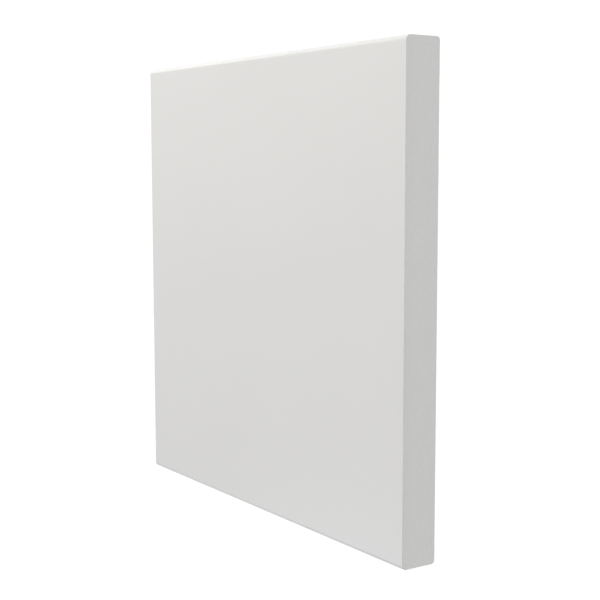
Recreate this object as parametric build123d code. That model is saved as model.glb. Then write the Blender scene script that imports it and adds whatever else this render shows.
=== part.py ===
from build123d import *
import os

# Flat fascia board, a square piece sawn from extruded cellular plastic stock.
# It lies face up on its back: +X runs along the length it was extruded in,
# +Y across its width, +Z out of the show face. The origin is the middle of
# the back face. Sizes are in millimetres.

# Driving dimensions
BOARD_WIDTH = 225.0  # the depth of rafter end that the board covers
BOARD_THICKNESS = 18.0  # front of the show face to the back face
BOARD_LENGTH = 225.0  # between the two sawn ends
SHOW_EDGE_RADIUS = 2.3  # rounding of the two long edges beside the show face
BACK_EDGE_RADIUS = 1.5  # tighter rounding of the two long edges beside the back


def board_section():
    """The extruded section across the board, with its back on the floor. Its corners beside the
    show face have one rounding, and those beside the back another."""
    section = Pos(0, BOARD_THICKNESS / 2) * Rectangle(BOARD_WIDTH, BOARD_THICKNESS)
    show_corners = section.vertices().group_by(Axis.Y)[-1]
    section = fillet(show_corners, SHOW_EDGE_RADIUS)
    back_corners = section.vertices().group_by(Axis.Y)[0]
    section = fillet(back_corners, BACK_EDGE_RADIUS)
    across_the_length = Plane.YZ
    return across_the_length * section


def fascia_board():
    """The section carried along the length, cut square by the saw at both ends."""
    return extrude(board_section(), amount=BOARD_LENGTH / 2, both=True)


os.makedirs("parts", exist_ok=True)
export_step(fascia_board(), "parts/fascia_board.step")
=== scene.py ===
# Finish of a flat fascia board: a square piece sawn from extruded cellular plastic stock.
# It lies face up on its back. Everything is in metres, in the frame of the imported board:
# +X runs along the length, +Y across the width and +Z out of the show face.

import math

import bpy
import numpy as np
from mathutils import Matrix, Vector


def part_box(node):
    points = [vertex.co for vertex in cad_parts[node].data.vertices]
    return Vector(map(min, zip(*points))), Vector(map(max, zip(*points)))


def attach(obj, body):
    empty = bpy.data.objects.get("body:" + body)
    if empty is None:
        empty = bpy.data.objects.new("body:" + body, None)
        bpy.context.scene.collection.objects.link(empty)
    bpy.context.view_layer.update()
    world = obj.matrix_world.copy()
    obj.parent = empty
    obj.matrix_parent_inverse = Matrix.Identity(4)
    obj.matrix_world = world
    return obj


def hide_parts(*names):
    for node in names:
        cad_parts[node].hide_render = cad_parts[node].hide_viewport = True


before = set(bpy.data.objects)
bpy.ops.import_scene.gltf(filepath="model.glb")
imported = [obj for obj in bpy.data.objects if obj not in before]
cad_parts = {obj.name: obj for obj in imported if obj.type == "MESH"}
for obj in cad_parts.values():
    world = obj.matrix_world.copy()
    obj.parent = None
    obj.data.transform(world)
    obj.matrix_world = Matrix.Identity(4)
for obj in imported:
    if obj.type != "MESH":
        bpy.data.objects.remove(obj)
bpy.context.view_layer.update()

MM = 0.001

# The board's own sizes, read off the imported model
BOARD_NODE = "fascia_board"
back_corner, show_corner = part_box(BOARD_NODE)
LENGTH, WIDTH, THICKNESS = show_corner - back_corner
SAME_HEIGHT = 0.001 * MM  # points within this of a face's height lie on that face


def packed_rounding(face_height):
    """Radius of the long edges beside the face at that height: how far the face's flat stops short of
    the full half width."""
    points = np.array([vertex.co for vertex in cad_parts[BOARD_NODE].data.vertices])
    on_face = np.abs(points[:, 2] - face_height) < SAME_HEIGHT
    return float(show_corner.y - points[on_face, 1].max())


SHOW_ROUNDING = packed_rounding(show_corner.z)
BACK_ROUNDING = packed_rounding(back_corner.z)

# How the surface is divided
END_GAP = 0.375 * MM  # between points of the grid on a sawn end
ROUNDING_STEPS = 8  # faces round a quarter turn of a long edge
SKIN_BANDS = 10  # bands along the length of the skin

# The saw's and the die's marks
ARRIS = 0.15 * MM  # small broken corner between a sawn end and the skin
ARRIS_WANDER = 0.4  # share of the arris by which its edge wanders
ARRIS_WANDER_LENGTH = 2.5 * MM
DENSE_SKIN = 1.4 * MM  # depth over which the closed skin turns into foam
CELL_SPACING = 0.85 * MM  # between the larger opened cells
SMALLEST_CELL = 0.30  # radius of such a cell, as a share of the spacing
LARGEST_CELL = 0.65
CELL_DEPTH = 0.035 * MM
DRAG_DEPTH = 0.006 * MM  # streaks that the saw drags across the width
DRAG_SPACING = 0.7 * MM
DRAG_LENGTH = 5.0 * MM
WAVE_DEPTH = 0.02 * MM  # shallow waves in the extruded skin
WAVE_ACROSS = 24.0 * MM
WAVE_ALONG = 90.0 * MM
WAVE_SLANT = 2  # the waves shift across by this many times the height, so that the two faces differ
LATTICE = 512  # squares before a random lattice repeats
NEAR_END_SEED = 11
FAR_END_SEED = 23
ARRIS_SEED = 5
WAVE_SEED = 7


# Random heights, the same on every run

def lattice_heights(across, along, seed):
    """A smooth random height from 0 to 1. Each corner of a lattice of unit squares has a random height,
    and a point takes the heights of its square's four corners, blended both ways by 3t^2 - 2t^3."""
    corner = np.random.default_rng(seed).random((LATTICE, LATTICE))
    column = np.floor(across).astype(int)
    row = np.floor(along).astype(int)
    share_across = across - column
    share_along = along - row
    blend_across = share_across**2 * (3 - 2 * share_across)
    blend_along = share_along**2 * (3 - 2 * share_along)
    left = column % LATTICE
    right = (column + 1) % LATTICE
    near = row % LATTICE
    far = (row + 1) % LATTICE
    near_height = corner[near, left] * (1 - blend_across) + corner[near, right] * blend_across
    far_height = corner[far, left] * (1 - blend_across) + corner[far, right] * blend_across
    return near_height * (1 - blend_along) + far_height * blend_along


def cell_pits(across, along, seed):
    """Depth of the opened cells from 0 to 1. Every unit square holds one cell at a random place, and its
    pit is a bowl: its own depth times 1 minus the squared distance over the squared radius, or nothing."""
    draw = np.random.default_rng(seed)
    centre_across = draw.random((LATTICE, LATTICE))
    centre_along = draw.random((LATTICE, LATTICE))
    radius = SMALLEST_CELL + (LARGEST_CELL - SMALLEST_CELL) * draw.random((LATTICE, LATTICE))
    own_depth = draw.random((LATTICE, LATTICE)) ** 2
    column = np.floor(across).astype(int)
    row = np.floor(along).astype(int)
    deepest = np.zeros_like(across)
    for column_step in (-1, 0, 1):
        for row_step in (-1, 0, 1):
            square = ((row + row_step) % LATTICE, (column + column_step) % LATTICE)
            gap_across = column + column_step + centre_across[square] - across
            gap_along = row + row_step + centre_along[square] - along
            share = (gap_across**2 + gap_along**2) / radius[square] ** 2
            deepest = np.maximum(deepest, own_depth[square] * (1 - share))
    return deepest


# The board's section

def section_rows():
    """Rows of points across the thickness. Each row has a centre height, a lean that turns from
    straight down through level to straight up, and the radius that it turns with, so the long edges are
    quarter circles, the back's below and the show face's above."""
    straight_steps = round((THICKNESS - BACK_ROUNDING - SHOW_ROUNDING) / END_GAP)
    turning = np.linspace(0, math.pi / 2, ROUNDING_STEPS + 1)
    lean = np.concatenate([turning[:-1] - math.pi / 2, np.zeros(straight_steps + 1), turning[1:]])
    straight = np.linspace(BACK_ROUNDING, THICKNESS - SHOW_ROUNDING, straight_steps + 1)
    centre = np.concatenate([
        np.full(ROUNDING_STEPS, straight[0]),
        straight,
        np.full(ROUNDING_STEPS, straight[-1]),
    ])
    radius = np.where(lean < 0, BACK_ROUNDING, SHOW_ROUNDING)
    return centre, lean, radius


def outline_walk(rows, columns):
    """Row and column numbers once round the border of a grid: along the back, up one long edge, back
    along the show face and down the other long edge, so that +X sees it go anticlockwise."""
    back = (np.zeros(columns, int), np.arange(columns))
    rising = (np.arange(1, rows), np.full(rows - 1, columns - 1))
    show = (np.full(columns - 1, rows - 1), np.arange(columns - 2, -1, -1))
    falling = (np.arange(rows - 2, 0, -1), np.zeros(rows - 2, int))
    return tuple(np.concatenate(parts) for parts in zip(back, rising, show, falling))


def depth_inside(across, height):
    """How deep a point of the section lies inside its outline, a rounded rectangle: the radius less the
    distance from the rectangle of the corner centres, or plus the way to that rectangle's nearest side."""
    above_middle = height - THICKNESS / 2
    radius = np.where(above_middle > 0, SHOW_ROUNDING, BACK_ROUNDING)
    past_across = np.abs(across) - (WIDTH / 2 - radius)
    past_height = np.abs(above_middle) - (THICKNESS / 2 - radius)
    outside = np.hypot(np.maximum(past_across, 0), np.maximum(past_height, 0))
    return radius - outside - np.minimum(np.maximum(past_across, past_height), 0)


def sawn_depth(across, height, seed):
    """How far the saw and the opened cells cut below the true end: bowls of the cells and streaks drawn
    out across the width, both fading to nothing where the foam turns into skin."""
    inside = np.clip(depth_inside(across, height) / DENSE_SKIN, 0, 1)
    foamed = inside**2 * (3 - 2 * inside)
    shifted_across = across + WIDTH
    pits = cell_pits(shifted_across / CELL_SPACING, height / CELL_SPACING, seed)
    streaks = lattice_heights(height / DRAG_SPACING, shifted_across / DRAG_LENGTH, seed + 1)
    return foamed * (CELL_DEPTH * pits + DRAG_DEPTH * streaks)


# The board as one closed mesh

def end_grid():
    """A sawn end before the saw's marks: its places across and its heights, as grids of points. Each row
    is one of the section's rows, drawn in by the arris, with its points spread evenly from edge to edge."""
    centre, lean, radius = section_rows()
    columns = round((WIDTH - 2 * ARRIS) / END_GAP) + 1
    inner_radius = radius - ARRIS
    half_width = WIDTH / 2 - radius + inner_radius * np.cos(lean)
    across = half_width[:, None] * np.linspace(-1, 1, columns)[None, :]
    height = np.repeat((centre + inner_radius * np.sin(lean))[:, None], columns, axis=1)
    return across, height, lean


def end_points(across, height, way, seed):
    """Points of the sawn end that lies that way along X, 1 for near and -1 for far: half the length less
    the sawn depth, at each place across and height."""
    along = way * (LENGTH / 2 - sawn_depth(across, height, seed))
    return np.column_stack([along.ravel(), across.ravel(), height.ravel()])


def skin_rings(across, height, lean, walk):
    """Points of the skin, ring after ring from the far end to the near one. A ring is the border of a
    sawn end, moved outwards by the arris and then back in by the dip of the shallow waves. The first ring
    and the last stop short of the true ends by the arris, which wanders a little."""
    outward_across = np.sign(across[walk]) * np.cos(lean[walk[0]])
    outward_height = np.sin(lean[walk[0]])
    ring_across = across[walk] + ARRIS * outward_across
    ring_height = height[walk] + ARRIS * outward_height

    wander = lattice_heights(
        (ring_across + WIDTH) / ARRIS_WANDER_LENGTH, ring_height / ARRIS_WANDER_LENGTH, ARRIS_SEED
    )
    stop_short = ARRIS * (1 + ARRIS_WANDER * (2 * wander - 1))
    inner_places = np.linspace(-1, 1, SKIN_BANDS + 1)[1:-1] * LENGTH / 2
    along = np.vstack([
        stop_short - LENGTH / 2,
        np.repeat(inner_places[:, None], len(ring_across), axis=1),
        LENGTH / 2 - stop_short,
    ])

    slanted_across = ring_across + WIDTH + WAVE_SLANT * ring_height
    dip = WAVE_DEPTH * lattice_heights(
        slanted_across / WAVE_ACROSS, (along + LENGTH) / WAVE_ALONG, WAVE_SEED
    )
    dipped_across = ring_across - dip * outward_across
    dipped_height = ring_height - dip * outward_height
    return np.stack([along, dipped_across, dipped_height], axis=-1)


def grid_faces(number):
    """The four-sided face between each two neighbouring rows and columns of a grid of point numbers,
    anticlockwise where the columns run to the right and the rows upwards."""
    return np.stack(
        [number[:-1, :-1], number[:-1, 1:], number[1:, 1:], number[1:, :-1]], axis=-1
    )


def board_surface():
    """Points and faces of the whole board. The border of each sawn end, as a ring, is joined to the
    skin's nearest ring by the faces of the arris, so the surface is closed."""
    across, height, lean = end_grid()
    walk = outline_walk(*across.shape)
    near_end = end_points(across, height, 1, NEAR_END_SEED)
    far_end = end_points(across, height, -1, FAR_END_SEED)
    skin = skin_rings(across, height, lean, walk)
    points = np.vstack([near_end, far_end, skin.reshape(-1, 3)])

    stations, ring_size = skin.shape[:2]
    near_number = np.arange(len(near_end)).reshape(across.shape)
    far_number = near_number + len(near_end)
    skin_number = 2 * len(near_end) + np.arange(stations * ring_size).reshape(stations, ring_size)
    rings = np.vstack([far_number[walk], skin_number, near_number[walk]])
    bands = grid_faces(np.column_stack([rings, rings[:, 0]]))

    near_faces = grid_faces(near_number)
    far_faces = grid_faces(far_number)[..., ::-1]
    arris_faces = bands[[0, -1]]
    skin_faces = bands[1:-1].reshape(-1, 4)
    sawn_faces = np.vstack([part.reshape(-1, 4) for part in (near_faces, far_faces, arris_faces)])
    return points, skin_faces, sawn_faces


SHARP_ANGLE = math.radians(32)


def extruded_and_sawn_board(skin_finish, sawn_finish):
    """The board's mesh from the points and faces, with the skin in one finish and the saw's cuts in the
    other, smooth but for the two edges of each arris."""
    points, skin_faces, sawn_faces = board_surface()
    faces = np.vstack([skin_faces, sawn_faces])
    mesh = bpy.data.meshes.new("sawn_fascia_board")
    mesh.from_pydata(points, [], faces)
    mesh.materials.append(skin_finish)
    mesh.materials.append(sawn_finish)
    finish_number = np.repeat([0, 1], [len(skin_faces), len(sawn_faces)])
    mesh.polygons.foreach_set("material_index", finish_number)
    mesh.polygons.foreach_set("use_smooth", np.ones(len(faces), bool))
    mesh.set_sharp_from_angle(angle=SHARP_ANGLE)
    mesh.update()
    board = bpy.data.objects.new("sawn_fascia_board", mesh)
    bpy.context.scene.collection.objects.link(board)
    return board


# Finishes

# The extruded skin: near white, with a spacing of its marks along the length, across and through
SKIN_DARKER = (0.692, 0.692, 0.688)
SKIN_LIGHTER = (0.712, 0.712, 0.708)
SKIN_ROUGHNESS = (0.27, 0.37)
CLOUD_SPACING = (60 * MM, 45 * MM, 45 * MM)
DIE_LINE_SPACING = (180 * MM, 1.1 * MM, 1.1 * MM)
DIE_LINE_DEPTH = 0.0006 * MM
ORANGE_PEEL_SPACING = (2.2 * MM, 2.2 * MM, 2.2 * MM)
ORANGE_PEEL_DEPTH = 0.0010 * MM

# The sawn foam: the same white, broken up by its cells
FOAM_DARKER = (0.648, 0.648, 0.640)
FOAM_LIGHTER = (0.732, 0.732, 0.724)
FOAM_ROUGHNESS = (0.70, 0.90)
GRAIN_SPACING = (1.0 * MM, 2.2 * MM, 0.85 * MM)
GRAIN_DEPTH = 0.012 * MM
FINE_CELL_SPACING = (0.32 * MM, 0.32 * MM, 0.32 * MM)
FINE_CELL_DEPTH = 0.020 * MM
FACE_SIDE_PAINTED_SHADE = 0.962  # painted shade: the factor on the foam's colour right under the show face, beside the rest of it
PAINTED_SHADE_FADE = 3.0  # power by which that painted shade fades, to nothing in the middle of the thickness


def new_finish(name):
    """A new material, its node tree and the one Principled shader that the tree starts with."""
    finish = bpy.data.materials.new(name)
    finish.use_nodes = True
    tree = finish.node_tree
    shader = tree.nodes["Principled BSDF"]
    return finish, tree, shader


def board_places(tree, spacing):
    """Object coordinates divided by a spacing along each axis, so that a pattern of unit size has it."""
    places = tree.nodes.new("ShaderNodeTexCoord")
    mapping = tree.nodes.new("ShaderNodeMapping")
    mapping.inputs["Scale"].default_value = [1 / gap for gap in spacing]
    tree.links.new(places.outputs["Object"], mapping.inputs["Vector"])
    return mapping.outputs["Vector"]


def mottle(tree, spacing, detail, roughness):
    """Soft noise from 0 to 1 with that spacing along each axis."""
    noise = tree.nodes.new("ShaderNodeTexNoise")
    noise.inputs["Scale"].default_value = 1.0
    noise.inputs["Detail"].default_value = detail
    noise.inputs["Roughness"].default_value = roughness
    tree.links.new(board_places(tree, spacing), noise.inputs["Vector"])
    return noise.outputs["Fac"]


def foam_cells(tree, spacing):
    """Distance from the nearest cell centre, in cells, so that each cell is a bowl with raised walls."""
    cells = tree.nodes.new("ShaderNodeTexVoronoi")
    cells.inputs["Scale"].default_value = 1.0
    tree.links.new(board_places(tree, spacing), cells.inputs["Vector"])
    return cells.outputs["Distance"]


def between(tree, value, low, high):
    """A value from 0 to 1 spread over low to high."""
    spread = tree.nodes.new("ShaderNodeMapRange")
    spread.inputs["To Min"].default_value = low
    spread.inputs["To Max"].default_value = high
    tree.links.new(value, spread.inputs["Value"])
    return spread.outputs["Result"]


def tint(tree, value, low_colour, high_colour):
    """A colour between two, by a value from 0 to 1."""
    mix = tree.nodes.new("ShaderNodeMix")
    mix.data_type = "RGBA"
    mix.inputs["A"].default_value = (*low_colour, 1)
    mix.inputs["B"].default_value = (*high_colour, 1)
    tree.links.new(value, mix.inputs["Factor"])
    return mix.outputs["Result"]


def shaded(tree, colour, value, darkest):
    """A colour times a factor that falls from 1 to darkest with a value from 0 to 1."""
    mix = tree.nodes.new("ShaderNodeMix")
    mix.data_type = "RGBA"
    mix.blend_type = "MULTIPLY"
    mix.inputs["Factor"].default_value = 1.0
    tree.links.new(colour, mix.inputs["A"])
    tree.links.new(tint(tree, value, (1, 1, 1), (darkest,) * 3), mix.inputs["B"])
    return mix.outputs["Result"]


def relief(tree, height, depth, under=None):
    """Bump of that depth in metres, over the bump under it."""
    bump = tree.nodes.new("ShaderNodeBump")
    bump.inputs["Strength"].default_value = 1.0
    bump.inputs["Distance"].default_value = depth
    tree.links.new(height, bump.inputs["Height"])
    if under:
        tree.links.new(under, bump.inputs["Normal"])
    return bump.outputs["Normal"]


def satin_skin():
    """The skin that the die leaves: near white with a faint soft mottle, satin, with fine lines drawn
    along the length and the slightest orange peel."""
    finish, tree, shader = new_finish("satin_extruded_skin")
    cloud = mottle(tree, CLOUD_SPACING, detail=2, roughness=0.5)
    die_lines = mottle(tree, DIE_LINE_SPACING, detail=2, roughness=0.6)
    orange_peel = mottle(tree, ORANGE_PEEL_SPACING, detail=1, roughness=0.5)
    colour = tint(tree, cloud, SKIN_DARKER, SKIN_LIGHTER)
    drawn = relief(tree, die_lines, DIE_LINE_DEPTH)
    peeled = relief(tree, orange_peel, ORANGE_PEEL_DEPTH, under=drawn)
    tree.links.new(colour, shader.inputs["Base Color"])
    tree.links.new(between(tree, die_lines, *SKIN_ROUGHNESS), shader.inputs["Roughness"])
    tree.links.new(peeled, shader.inputs["Normal"])
    return finish


def painted_shade_towards_show_face(tree):
    """How near the show face a place is: 0 up to the middle of the thickness, then rising by the fade's
    power to 1 at the face. This is the mask of the painted shade towards the show face."""
    places = tree.nodes.new("ShaderNodeTexCoord")
    split = tree.nodes.new("ShaderNodeSeparateXYZ")
    share = tree.nodes.new("ShaderNodeMapRange")
    share.inputs["From Min"].default_value = THICKNESS / 2
    share.inputs["From Max"].default_value = THICKNESS
    rise = tree.nodes.new("ShaderNodeMath")
    rise.operation = "POWER"
    rise.inputs[1].default_value = PAINTED_SHADE_FADE
    tree.links.new(places.outputs["Object"], split.inputs["Vector"])
    tree.links.new(split.outputs["Z"], share.inputs["Value"])
    tree.links.new(share.outputs["Result"], rise.inputs[0])
    return rise.outputs["Value"]


def sawn_foam():
    """The sawn end: matt foam of fine opened cells with a soft mottle, and painted shade that darkens its
    colour towards the show face."""
    finish, tree, shader = new_finish("sawn_foam_end")
    cells = foam_cells(tree, FINE_CELL_SPACING)
    grain = mottle(tree, GRAIN_SPACING, detail=3, roughness=0.6)
    foam = tint(tree, grain, FOAM_DARKER, FOAM_LIGHTER)
    # painted shade: the foam's colour darkened towards the show face
    colour = shaded(tree, foam, painted_shade_towards_show_face(tree), FACE_SIDE_PAINTED_SHADE)
    torn = relief(tree, grain, GRAIN_DEPTH)
    opened = relief(tree, cells, FINE_CELL_DEPTH, under=torn)
    tree.links.new(colour, shader.inputs["Base Color"])
    tree.links.new(between(tree, grain, *FOAM_ROUGHNESS), shader.inputs["Roughness"])
    tree.links.new(opened, shader.inputs["Normal"])
    return finish


# The studio

FLOOR_HALF_SIZE = 8.0
FLOOR_GREY = 0.06  # what the floor throws back of the light, besides its own glow
FLOOR_ROUGHNESS = 0.9
FLOOR_GLOW = 0.98
SKY_STRENGTH = 0.42
BACKDROP_STRENGTH = 1.0
BOX_DISTANCE = 1.1  # from the middle of the board's back to a soft box
NEARLY_UP = Vector((0, 0.001, 1))  # off plumb by a hair, so that a box right overhead can be turned too

# Sides of the square soft boxes
TALL_BOX = 1.2
WIDE_BOX = 0.6
SMALL_BOX = 0.45

# Red, green and blue of the lights' whites
WARM_WHITE = (1.14, 1.0, 0.72)
PLAIN_WHITE = (1.0, 1.0, 1.0)
COOL_WHITE = (0.92, 1.0, 1.18)


def white_floor():
    """Plain pale floor that glows, so that it stays pale in the board's own shade."""
    finish, tree, shader = new_finish("pale_floor")
    shader.inputs["Base Color"].default_value = (FLOOR_GREY, FLOOR_GREY, FLOOR_GREY, 1)
    shader.inputs["Roughness"].default_value = FLOOR_ROUGHNESS
    shader.inputs["Specular IOR Level"].default_value = 0.0
    shader.inputs["Emission Color"].default_value = (*PLAIN_WHITE, 1)
    shader.inputs["Emission Strength"].default_value = FLOOR_GLOW
    return finish


def lay_floor():
    """One level square under the board's back."""
    mesh = bpy.data.meshes.new("studio_floor")
    reach = FLOOR_HALF_SIZE
    corners = [(-reach, -reach, 0), (reach, -reach, 0), (reach, reach, 0), (-reach, reach, 0)]
    mesh.from_pydata(corners, [], [(0, 1, 2, 3)])
    mesh.materials.append(white_floor())
    floor = bpy.data.objects.new("studio_floor", mesh)
    bpy.context.scene.collection.objects.link(floor)


def turned_to(place, aim, top):
    """Matrix of something at place that looks down its own -Z at aim, with its +Y as near top as can be."""
    back = (place - aim).normalized()
    right = top.cross(back).normalized()
    up = back.cross(right)
    turn = Matrix((right, up, back)).transposed().to_4x4()
    return Matrix.Translation(place) @ turn


def light_from(azimuth, elevation):
    """The place of a soft box, that many degrees round from +X towards +Y and above the floor."""
    turn = math.radians(azimuth)
    rise = math.radians(elevation)
    level = BOX_DISTANCE * math.cos(rise)
    return Vector((level * math.cos(turn), level * math.sin(turn), BOX_DISTANCE * math.sin(rise)))


def soft_light(name, azimuth, elevation, side, watts, white):
    """A square soft box of that side, watts and white, aimed at the middle of the show face."""
    lamp = bpy.data.lights.new(name, "AREA")
    lamp.shape = "SQUARE"
    lamp.size = side
    lamp.energy = watts
    lamp.color = white
    box = bpy.data.objects.new(name, lamp)
    show_face_middle = Vector((0, 0, THICKNESS))
    box.matrix_world = turned_to(light_from(azimuth, elevation), show_face_middle, NEARLY_UP)
    box.visible_camera = False
    bpy.context.scene.collection.objects.link(box)


def even_sky():
    """The same pale light from all round, and a white backdrop where the camera looks past the floor."""
    world = bpy.data.worlds.new("studio_air")
    world.use_nodes = True
    tree = world.node_tree
    sky = tree.nodes["Background"]
    sky.inputs["Color"].default_value = (*PLAIN_WHITE, 1)
    sky.inputs["Strength"].default_value = SKY_STRENGTH
    backdrop = tree.nodes.new("ShaderNodeBackground")
    backdrop.inputs["Color"].default_value = (*PLAIN_WHITE, 1)
    backdrop.inputs["Strength"].default_value = BACKDROP_STRENGTH
    rays = tree.nodes.new("ShaderNodeLightPath")
    choose = tree.nodes.new("ShaderNodeMixShader")
    tree.links.new(rays.outputs["Is Camera Ray"], choose.inputs["Fac"])
    tree.links.new(sky.outputs["Background"], choose.inputs[1])
    tree.links.new(backdrop.outputs["Background"], choose.inputs[2])
    tree.links.new(choose.outputs["Shader"], tree.nodes["World Output"].inputs["Surface"])
    bpy.context.scene.world = world


# The camera stands where the photograph's stood beside the board, whose width runs up the picture.
CAMERA_PLACE = Vector((0.50536, 0.05888, 0.33794))
CAMERA_AIM = Vector((0.03550, -0.00320, 0.018))
CAMERA_ROLL = math.radians(0.077)
CAMERA_LENS = 73.31  # in mm, on a picture 36 mm wide
PICTURE_WIDTH = 36.0
NEAREST_SEEN = 0.01
FURTHEST_SEEN = 50.0


def set_camera():
    """The camera at its place, turned so that the board's +Y is up, less the small roll."""
    data = bpy.data.cameras.new("camera")
    data.lens = CAMERA_LENS
    data.sensor_width = PICTURE_WIDTH
    data.clip_start = NEAREST_SEEN
    data.clip_end = FURTHEST_SEEN
    camera = bpy.data.objects.new("camera", data)
    upright = turned_to(CAMERA_PLACE, CAMERA_AIM, Vector((0, 1, 0)))
    camera.matrix_world = upright @ Matrix.Rotation(-CAMERA_ROLL, 4, "Z")
    bpy.context.scene.collection.objects.link(camera)
    bpy.context.scene.camera = camera


set_camera()
lay_floor()
even_sky()
soft_light("above", azimuth=0, elevation=90, side=WIDE_BOX, watts=0.25, white=COOL_WHITE)
soft_light("above_far_corner", azimuth=135, elevation=65, side=WIDE_BOX, watts=1.46, white=WARM_WHITE)
soft_light("above_upper_edge", azimuth=90, elevation=45, side=TALL_BOX, watts=8.83, white=PLAIN_WHITE)
soft_light("far_corner_high", azimuth=150, elevation=30, side=SMALL_BOX, watts=0.20, white=PLAIN_WHITE)
soft_light("far_corner_low", azimuth=150, elevation=15, side=SMALL_BOX, watts=1.01, white=PLAIN_WHITE)
soft_light("far_end", azimuth=165, elevation=15, side=SMALL_BOX, watts=0.19, white=PLAIN_WHITE)
soft_light("lower_far_corner", azimuth=225, elevation=30, side=WIDE_BOX, watts=1.48, white=COOL_WHITE)
soft_light("near_end", azimuth=0, elevation=15, side=WIDE_BOX, watts=0.20, white=PLAIN_WHITE)
bpy.context.scene.view_settings.view_transform = "Standard"
bpy.context.scene.view_settings.look = "None"

board = extruded_and_sawn_board(satin_skin(), sawn_foam())
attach(board, "root")
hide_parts(BOARD_NODE)
